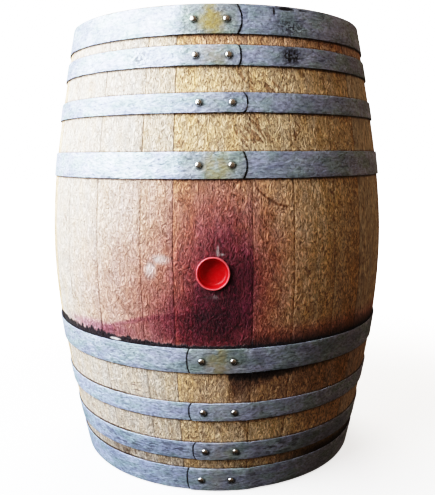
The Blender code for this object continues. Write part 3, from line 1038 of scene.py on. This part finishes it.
def scratch(surface):
    """A long curved scratch, a short crack, two nicks above the bung and a drying crack."""
    beyond = (surface.azimuth * -1 + 22.0) / 10.5
    path = beyond * beyond * 0.037 + 0.541
    length = surface.azimuth.plateau(11.3, 12.5, 20.5, 22.5)
    long_scratch = (surface.z - path).size().rise(0.0034, 0.0012) * length
    crack = surface.patches((24.8, 0.658, 0.45, 0.011, 0.6), (24.6, 0.660, 1.1, 0.0022, 0.6))
    drying = surface.patch(-15.8, 0.356, 0.16, 0.056, 0.6) * 0.7
    nicks = surface.patches((-9.6, 0.650, 0.4, 0.006, 0.6), (6.9, 0.665, 0.5, 0.004, 0.6))
    return strongest(long_scratch, crack, drying, nicks)


def hoop_shadow_and_grime(surface):
    """1 under and just beside every hoop, and more in the gap over the lower hoops' edges at left:
    painted shadow of the hoops, with grime.
    """
    left = surface.azimuth.rise(-16.0, -34.0) * surface.front * 0.9
    shaded = []
    for hoop in map(read_hoop, HOOPS):
        low, high = hoop.middle - hoop.width / 2, hoop.middle + hoop.width / 2
        shaded.append(surface.z.plateau(low - 0.0050, low - 0.0010, high, high + 0.0035))
        if hoop.side == -1:
            shaded.append((surface.z - high - 0.0010).size().rise(0.0028, 0.0012) * left * 1.6)
    return strongest(*shaded)


def oak_stave_material():
    """Staves: worn oak, grimy at the seams, with grime and painted shadow at the hoops, grime and
    painted shade at the foot, and stained with wine.
    """
    surface = Surface("weathered_oak")
    azimuth, z, front = surface.azimuth, surface.z, surface.front
    across, from_seam, depth = stave_coordinates(surface)
    height = paint_oak(surface, across, z, depth)
    seed = surface.own("seed")

    grime = surface.noise(surface.vector(across + seed, z * 0.35, seed), 70, detail=4)
    seam = from_seam.rise(0.0014, 0.0) * grime.rise(0.36, 0.66)
    surface.tint(seam * 0.45, SEAM_TINT)
    marks = chatter(surface, across).larger(scratch(surface))
    surface.tint(marks * 0.76, MARK_TINT)
    # Painted shadow under and beside the hoops, with grime in it
    surface.tint(hoop_shadow_and_grime(surface) * (grime * 0.5 + 0.45), HOOP_SHADOW_AND_GRIME_TINT)
    tanned = z.rise(0.798, 0.812) * azimuth.rise(-14.0, -4.0) * front * 0.35
    surface.dye(tanned, HAZE_DENSITY)

    # The foot, darker towards the bottom with grime and painted shade, and near black at right with
    # painted shade
    foot_grime_and_shade = z.rise(0.080, 0.055)
    surface.tint(foot_grime_and_shade * 0.45, FOOT_GRIME_AND_SHADE_TINT)
    # Grime and painted shade in the gap between the lowest two hoops, left of the bung
    dirt = surface.patch(-33.0, LOWEST_GAP, 8.0, 0.008, 0.7) * grime.rise(0.36, 0.50)
    surface.tint(dirt * 0.8, GAP_GRIME_AND_SHADE_TINT)
    # Painted shade, near black, on the foot's right
    right_foot_shade = foot_grime_and_shade * azimuth.rise(15.0, 40.0) * front
    surface.tint(right_foot_shade * 0.96, RIGHT_FOOT_SHADE_TINT)

    # Wine
    hoop_bottom, hoop_top = (corner.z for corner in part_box("bottom_bilge_hoop"))
    spill_wine(surface)
    # The lees, and a painted shade above the hoop right of the bung, painted in one black
    lees = lees_crust_and_shade(surface, hoop_top)
    surface.paint(lees * 0.97, LEES_AND_SHADE_BLACK)
    streak_below(surface, hoop_bottom)
    surface.paint(light_smudges(surface) * 0.6, DREGS)
    surface.paint(surface.patch(-31.5, hoop_top + 0.0035, 1.8, 0.0022), FLAKE)

    # Sawn ends, and the toasted and wine-soaked inside
    at_end = (z - MID_HEIGHT).size().rise(MID_HEIGHT - 0.030, MID_HEIGHT - 0.015)
    ends = surface.facing[2].size().rise(0.55, 0.8) * at_end
    surface.paint(ends * 0.8, END_GRAIN)
    inside = depth.rise(STAVE_THICKNESS * 0.55, STAVE_THICKNESS * 0.95)
    soaked = inside * z.near(MID_HEIGHT, MID_HEIGHT - LIP_END - 0.001, 0.001)
    surface.paint(soaked, surface.mix(grime.rise(0.35, 0.7), TOASTED_OAK, SOAKED_OAK))
    roughness = grime * 0.22 + 0.60 - lees * 0.2
    relief = height + lees * 2.5 - seam * 0.6 - marks * 0.6
    return surface.finish(roughness, relief, 0.0008)


def oak_head_material():
    """Head boards, whose grain runs towards the bung."""
    surface = Surface("head_oak")
    height = paint_oak(surface, surface.x, surface.y, surface.z)
    dust = surface.noise(surface.place, 9, detail=5)
    rim = surface.radius.rise(END_RADIUS - 0.075, END_RADIUS - 0.030)
    surface.tint(rim * dust.rise(0.35, 0.7) * 0.6, HEAD_RIM_TINT)
    from_joint = (surface.x - surface.own("left_joint")).smaller(surface.own("right_joint") - surface.x)
    joint = from_joint.rise(0.0022, 0.0) * dust.rise(0.2, 0.5)
    surface.tint(joint * 0.85, HEAD_JOINT_TINT)
    inner_face = MID_HEIGHT - HEAD_BACK_DEPTH
    inner = (surface.z - MID_HEIGHT).size().rise(inner_face + HEAD_THICKNESS * 0.3, inner_face)
    surface.paint(inner, SOAKED_HEAD)
    return surface.finish(dust * 0.2 + 0.62, height, 0.0007)


# Metal

ZINC = (0.48, 0.545, 0.67)
DARK_ZINC = (0.29, 0.34, 0.43)
OCHRE_RUST = (0.36, 0.265, 0.07)
CAUGHT_DIRT = (0.016, 0.013, 0.010)
SMUDGE = (0.030, 0.026, 0.028)
BRIGHT_RIVET = (0.90, 0.90, 0.87)
DULL_RIVET = (0.52, 0.50, 0.46)

# Tints that multiply the steel's own colour
BLUE_LIGHT_TINT = (0.93, 1.0, 1.12)
ROLLED_TINT = (0.55, 0.60, 0.70)
GREEN_TINT = (0.86, 0.94, 0.82)
PURPLE_TINT = (0.97, 0.92, 1.0)
AGED_TINT = (0.78, 0.77, 0.58)
RIVET_SHADE = (0.16, 0.15, 0.12)


def galvanised_material():
    """Old galvanising with its spangle, rust at the laps, dirt round the laps, painted shadow round the
    rivets and painted bluish light on the lower hoops at left.
    """
    surface = Surface("galvanised_steel")
    around_hoop = surface.vector(surface.x * 0.5, surface.y * 0.5, surface.z)
    cloud = surface.noise(around_hoop, 30, detail=5, roughness=0.6)
    speckle = surface.noise(around_hoop, 260, detail=2, roughness=0.6, distortion=0.4)
    rolled = surface.noise(surface.vector(surface.x * 0.17, surface.y * 0.17, surface.z), 260, detail=2)
    tint = surface.noise(around_hoop, 48, detail=3)
    dull = cloud.rise(0.36, 0.66) * 0.8 + surface.own("age") + (speckle - 0.5) * 0.6
    surface.colour = surface.mix(dull, ZINC, DARK_ZINC)
    surface.tint(1.0, (speckle - 0.5) * 2.1 + 1)
    # Painted bluish light on the lower hoops at left
    painted_blue_light = surface.z.rise(0.34, 0.06) * surface.azimuth.rise(8.0, -25.0)
    surface.tint(painted_blue_light * 0.8, BLUE_LIGHT_TINT)
    surface.tint(rolled.rise(0.48, 0.75) * 0.5, ROLLED_TINT)
    surface.tint(tint.rise(0.50, 0.62) * 0.8, GREEN_TINT)
    surface.tint(tint.rise(0.50, 0.38) * 0.8, PURPLE_TINT)

    # Ochre stains at the lap
    turned = surface.azimuth - surface.own("lap")
    up = surface.z - surface.own("middle_height")
    lap = ((turned - 0.5).size() + (up + 0.004).size() * 90).rise(7.0, 1.5)
    blots = surface.noise(surface.place, 55, detail=4)
    rust = lap * blots.rise(0.28, 0.58) * surface.own("rust")
    aged = turned.size().rise(11.0, 7.5) * surface.own("rust")
    surface.tint(aged * 0.8, AGED_TINT)
    surface.paint(rust * 0.8, OCHRE_RUST)

    # Dirt caught past the bowed end of the strip, and painted shadow round the rivets, set off to their
    # right and below
    caught = surface.own("past_end", "GEOMETRY").plateau(-0.0005, 0.0, 0.0026, 0.0045)
    surface.paint(caught * 0.95, CAUGHT_DIRT)
    across_lap = (turned.radians() * surface.radius - 0.0012).size() - RIVET_PITCH / 2
    rivet_shadow = hypotenuse(across_lap, up + 0.0008).rise(0.0100, 0.0055)
    surface.tint(rivet_shadow * 0.75, RIVET_SHADE)
    surface.paint(hoop_smudges(surface, blots), SMUDGE)

    roughness = cloud * 0.25 + rust * 0.2 + caught * 0.2 + 0.42
    height = speckle * 4.0 + cloud * 0.6 - rolled * 0.3
    surface.set("Metallic", 0.30)
    return surface.finish(roughness, height, 0.0004)


def hoop_smudges(surface, blots):
    """Black smudges, chips and scuffs on the hoops."""
    patch = surface.patch
    broken = blots.rise(0.44, 0.58)
    specks = surface.noise(surface.place, 190, detail=3)
    chime = patch(26.0, 0.843, 4.5, 0.013, 0.9) * specks.rise(0.46, 0.55) * 0.8
    quarter = patch(25.4, 0.794, 3.2, 0.013, 0.9) * (specks.rise(0.42, 0.54) * 0.7 + 0.55)
    left_quarter = patch(-23.5, 0.793, 4.0, 0.013, 0.9) * specks.rise(0.46, 0.54) * 0.75
    chips = patch(27.0, 0.8745, 7.0, 0.0020, 0.8) * broken + patch(20.4, 0.868, 0.35, 0.006)
    rim_chip = patch(24.6, 0.8745, 2.6, 0.0032, 0.3)
    low = patch(14.0, 0.033, 4.0, 0.010, 0.9) * broken * 0.35
    drawn_out = surface.vector(surface.x * 0.4, surface.y * 0.4, surface.z * 1.6)
    scraped = surface.noise(drawn_out, 110, detail=3).rise(0.52, 0.60) * 0.60
    second = read_hoop("bottom_outer_quarter_hoop").middle
    scuffs = surface.patches((-22.0, second, 24.0, 0.015, 0.6), (24.0, second, 12.0, 0.015, 0.6))
    return strongest(chime, quarter, left_quarter, chips, rim_chip, low, scraped * scuffs)


def rivet_material():
    surface = Surface("rivet_steel")
    spots = surface.noise(surface.place, 420, detail=3)
    surface.colour = surface.mix(spots.rise(0.45, 0.75), BRIGHT_RIVET, DULL_RIVET)
    surface.set("Metallic", 1.0)
    return surface.finish(spots * 0.15 + 0.16, spots, 0.0002)


# Silicone

RED_SILICONE = (0.66, 0.0020, 0.010)
THIN_RIM_AND_HIGHLIGHT = (0.88, 0.17, 0.19)
DUSTY_SILICONE = (0.75, 0.22, 0.20)


def silicone_material():
    """Red silicone that is paler and cloudier on its thin rim, whose paler colour is partly a painted
    highlight.
    """
    surface = Surface("red_silicone")
    face = -BILGE_RADIUS - BUNG_STANDS_PROUD
    from_axis = hypotenuse(surface.x, surface.z - BUNG_HEIGHT)
    rim = from_axis.rise(BUNG_RIM_RADIUS - BUNG_WALL * 1.15, BUNG_RIM_RADIUS - BUNG_WALL * 0.8)
    rim_and_highlight = rim * surface.y.rise(face + 0.0035, face + 0.0010)
    dust = surface.noise(surface.place, 260, detail=4)
    # The rim is painted paler all round, partly for its thin worn silicone and partly as a painted
    # highlight
    surface.colour = surface.mix(rim_and_highlight * 0.85, RED_SILICONE, THIN_RIM_AND_HIGHLIGHT)
    surface.paint(dust.rise(0.45, 0.75) * 0.18, DUSTY_SILICONE)
    surface.set("Subsurface Weight", 0.25)
    surface.set("Subsurface Radius", (1.0, 0.25, 0.2))
    surface.set("Subsurface Scale", 0.003)
    return surface.finish(dust * 0.2 + 0.30, dust, 0.0001)


# Studio

CAMERA_DISTANCE = 1.359  # from the barrel's axis
CAMERA_AZIMUTH = math.radians(1.1)
CAMERA_HEIGHT = 0.628
CAMERA_PITCH = math.radians(8.68)  # below the horizon
CAMERA_ROLL = math.radians(-0.34)
LENS = 44.03
SHIFT_X = 0.0010

LAMPS = {  # azimuth, elevation, distance, half the angle that it fills, power and colour
    "key": (-62.3, 33, 2.0, 32, 87, (0.91, 0.955, 1.0)),
    "back": (180, 35, 2.2, 20, 35, (1.0, 0.97, 0.92)),
    "side": (122, 25, 2.4, 30, 7, (1.0, 0.78, 0.58)),
}
WHITE = (1.0, 1.0, 1.0)
FILL_COLOUR = (1.0, 0.74, 0.54)
FILL_STRENGTH = 0.082
TONE_CONTRAST = 1.6
TONE_MIDDLE = 0.29
TONE_WHITE = 2.0
FLOOR_GREY = (0.85, 0.85, 0.85)
FLOOR_GLOW = 0.5  # the floor lights itself, and is pure white from some way off, like a light table
FLOOR_WHITE_FROM = 0.5
FLOOR_WHITE_TO = 2.2


def add_camera():
    data = bpy.data.cameras.new("camera")
    data.lens = LENS
    data.sensor_width = 36
    data.sensor_fit = "AUTO"
    data.shift_x = SHIFT_X
    data.clip_start = 0.02
    camera = link("camera", data)
    place = Matrix.Translation(around(CAMERA_AZIMUTH, CAMERA_DISTANCE, CAMERA_HEIGHT))
    aim = Matrix.Rotation(CAMERA_AZIMUTH, 4, "Z") @ Matrix.Rotation(math.pi / 2 - CAMERA_PITCH, 4, "X")
    camera.matrix_world = place @ aim @ Matrix.Rotation(CAMERA_ROLL, 4, "Z")
    bpy.context.scene.camera = camera


def add_lamp(name, azimuth, elevation, distance, spread, power, colour):
    """A round soft box facing the barrel."""
    data = bpy.data.lights.new(name, "AREA")
    data.shape = "DISK"
    data.size = 2 * distance * math.tan(math.radians(spread))
    data.energy = power
    data.color = colour
    lamp = link(name, data)
    rise = math.radians(elevation)
    towards = around(math.radians(azimuth), math.cos(rise), math.sin(rise))
    lamp.location = Vector((0, 0, MID_HEIGHT)) + towards * distance
    lamp.rotation_euler = towards.to_track_quat("Z", "Y").to_euler()
    lamp.visible_camera = False
    return lamp


def set_tone():
    """Deep shadows, and highlights that roll off to white, as on film."""
    view = bpy.context.scene.view_settings
    view.view_transform = "Standard"
    view.use_curve_mapping = True
    mapping = view.curve_mapping
    mapping.white_level = (TONE_WHITE,) * 3
    points = mapping.curves[3].points

    def response(light):
        return light**TONE_CONTRAST / (light**TONE_CONTRAST + TONE_MIDDLE**TONE_CONTRAST)

    for light in (0.02, 0.05, 0.1, 0.18, 0.3, 0.5, 0.8, 1.2):
        points.new(light / TONE_WHITE, response(light) / response(TONE_WHITE))
    mapping.update()


def add_world():
    """White behind the barrel, and a weak warm light from all round."""
    world = bpy.data.worlds.new("studio")
    bpy.context.scene.world = world
    world.use_nodes = True
    tree = world.node_tree
    tree.nodes.clear()
    direction = new_field(tree, "ShaderNodeTexCoord", {}, "Generated")
    up = new_field(tree, "ShaderNodeSeparateXYZ", {0: direction}, "Z")
    strength = up * FILL_STRENGTH + FILL_STRENGTH
    warm = new_field(tree, "ShaderNodeBackground", {"Color": FILL_COLOUR, "Strength": strength})
    white = new_field(tree, "ShaderNodeBackground", {"Color": WHITE, "Strength": TONE_WHITE})
    seen = new_field(tree, "ShaderNodeLightPath", {}, "Is Camera Ray")
    background = new_field(tree, "ShaderNodeMixShader", {0: seen, 1: warm, 2: white})
    add_node(tree, "ShaderNodeOutputWorld", {"Surface": background})


def add_floor():
    bm = bmesh.new()
    bmesh.ops.create_circle(bm, cap_ends=True, segments=96, radius=14.0)
    floor = link("floor", finish_mesh(bm, "floor"))
    surface = Surface("pale_floor")
    surface.set("Base Color", FLOOR_GREY)
    surface.set("Roughness", 0.8)
    surface.set("Emission Color", WHITE)
    glow = surface.radius.rise(FLOOR_WHITE_FROM, FLOOR_WHITE_TO) * TONE_WHITE + FLOOR_GLOW
    surface.set("Emission Strength", glow)
    floor.data.materials.append(surface.material)
    floor.visible_diffuse = False
    floor.visible_glossy = False


def main():
    set_tone()
    add_staves(oak_stave_material())
    add_heads(oak_head_material())
    add_hoops(galvanised_material(), rivet_material())
    add_bung(silicone_material())
    add_camera()
    lamps = {name: add_lamp(name, *settings) for name, settings in LAMPS.items()}
    lamps["side"].visible_glossy = False
    add_world()
    add_floor()


main()
